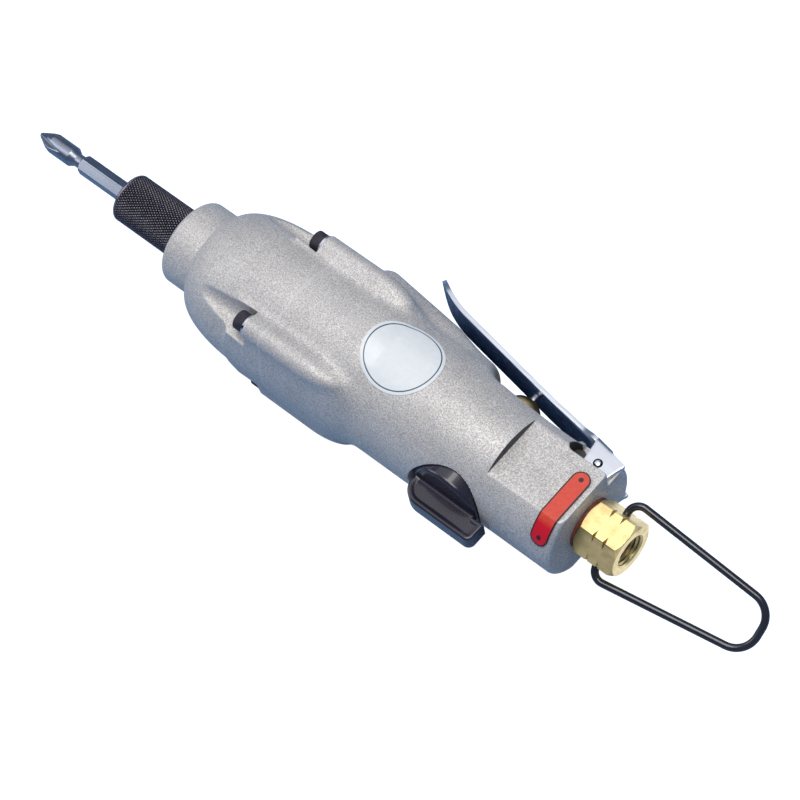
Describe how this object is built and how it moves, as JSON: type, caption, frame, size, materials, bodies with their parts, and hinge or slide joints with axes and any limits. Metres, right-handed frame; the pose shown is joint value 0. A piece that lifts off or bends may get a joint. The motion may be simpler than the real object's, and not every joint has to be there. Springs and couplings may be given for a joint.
{
  "type": "pneumatic screwdriver",
  "caption": "Straight air screwdriver with a cast two-piece housing, throttle lever, reversing knob, quick-change bit chuck, brass air inlet and wire hanger.",
  "frame": {"origin": "on the spindle axis, in the front face of the nose collar", "axes": "+X along the spindle towards the air inlet, +Y towards the throttle lever, +Z out of the flat that carries the red strip"},
  "size_m": [0.3108, 0.0701, 0.0509],
  "materials": {
    "cast_housing": "blasted casting",
    "gasket": "matt",
    "black_steel": "black oxide",
    "bright_steel": "bright",
    "tool_steel": "ground",
    "bronze": "turned bronze",
    "brass": "turned brass",
    "vane_composite": "laminate",
    "lever_steel": "polished sheet",
    "knob_plastic": "moulded, glossy",
    "seal_rubber": "matt",
    "seal_fibre": "fibre",
    "label_white": "printed film",
    "label_red": "printed film"
  },
  "bodies": {
    "housing": {"front_housing": "cast_housing", "rear_housing": "cast_housing", "housing_gasket": "gasket", "case_screws": "black_steel", "lock_washers": "bright_steel", "front_bushing": "bronze", "front_end_plate": "tool_steel", "rear_end_plate": "tool_steel", "motor_cylinder": "tool_steel", "cylinder_pin": "bright_steel", "bearing_outer_rings": "bright_steel", "bearing_balls": "bright_steel", "lever_pin": "bright_steel", "valve_cap": "brass", "valve_seat": "seal_rubber", "valve_spring": "bright_steel", "spool_pin": "bright_steel", "detent_ball": "bright_steel", "detent_spring": "bright_steel", "inlet_bushing": "brass", "inlet_seal": "seal_fibre", "inlet_screen": "bright_steel", "round_label": "label_white", "red_strip": "label_red"},
    "motor": {"rotor": "tool_steel", "rotor_vanes": "vane_composite", "bearing_inner_rings": "bright_steel", "hammer_cage": "tool_steel", "hammer_dogs": "tool_steel", "hammer_pins": "bright_steel"},
    "spindle": {"anvil_spindle": "tool_steel", "sleeve_ring": "bright_steel", "bit_ball": "bright_steel", "sleeve_spring": "bright_steel"},
    "sleeve": {"chuck_sleeve": "black_steel"},
    "bit": {"driver_bit": "bright_steel"},
    "lever": {"throttle_lever": "lever_steel"},
    "valve": {"valve_stem": "bright_steel"},
    "knob": {"reverse_knob": "knob_plastic", "reverse_spool": "tool_steel", "spool_oring": "seal_rubber"},
    "hanger": {"hanger_bail": "black_steel"}
  },
  "joints": [
    {"name": "motor_spin", "type": "hinge", "parent": "housing", "child": "motor", "pos_m": [0.082, 0, 0], "axis": [1, 0, 0], "continuous": true},
    {"name": "spindle_spin", "type": "hinge", "parent": "housing", "child": "spindle", "pos_m": [0.008, 0, 0], "axis": [1, 0, 0], "continuous": true},
    {"name": "sleeve_slide", "type": "slide", "parent": "spindle", "child": "sleeve", "axis": [-1, 0, 0], "range_m": [0, 0.003], "stiffness_N_per_m": 1500, "springref_m": -0.002, "deforming": ["sleeve_spring"]},
    {"name": "bit_pull", "type": "slide", "parent": "spindle", "child": "bit", "axis": [-1, 0, 0], "range_m": [0, 0.027]},
    {"name": "lever_press", "type": "hinge", "parent": "housing", "child": "lever", "pos_m": [0.167, 0.0142, 0], "axis": [0, 0, 1], "range_deg": [0, 3.5], "stiffness_Nm_per_rad": 3, "springref_deg": -5.73},
    {"name": "valve_lift", "type": "slide", "parent": "housing", "child": "valve", "axis": [0, -1, 0], "range_m": [0, 0.00214], "deforming": ["valve_spring"]},
    {"name": "knob_turn", "type": "hinge", "parent": "housing", "child": "knob", "pos_m": [0.132, -0.016, 0], "axis": [0, 1, 0], "range_deg": [-40, 40]},
    {"name": "hanger_swing", "type": "hinge", "parent": "housing", "child": "hanger", "pos_m": [0.1836, 0, 0], "axis": [0, 0.8339, 0.5519], "range_deg": [-111.6, 88.4]}
  ],
  "couplings": [
    {"joint": "spindle_spin", "follows": "motor_spin", "ratio": 1},
    {"joint": "valve_lift", "follows": "lever_press", "m_per_rad": 0.035}
  ]
}
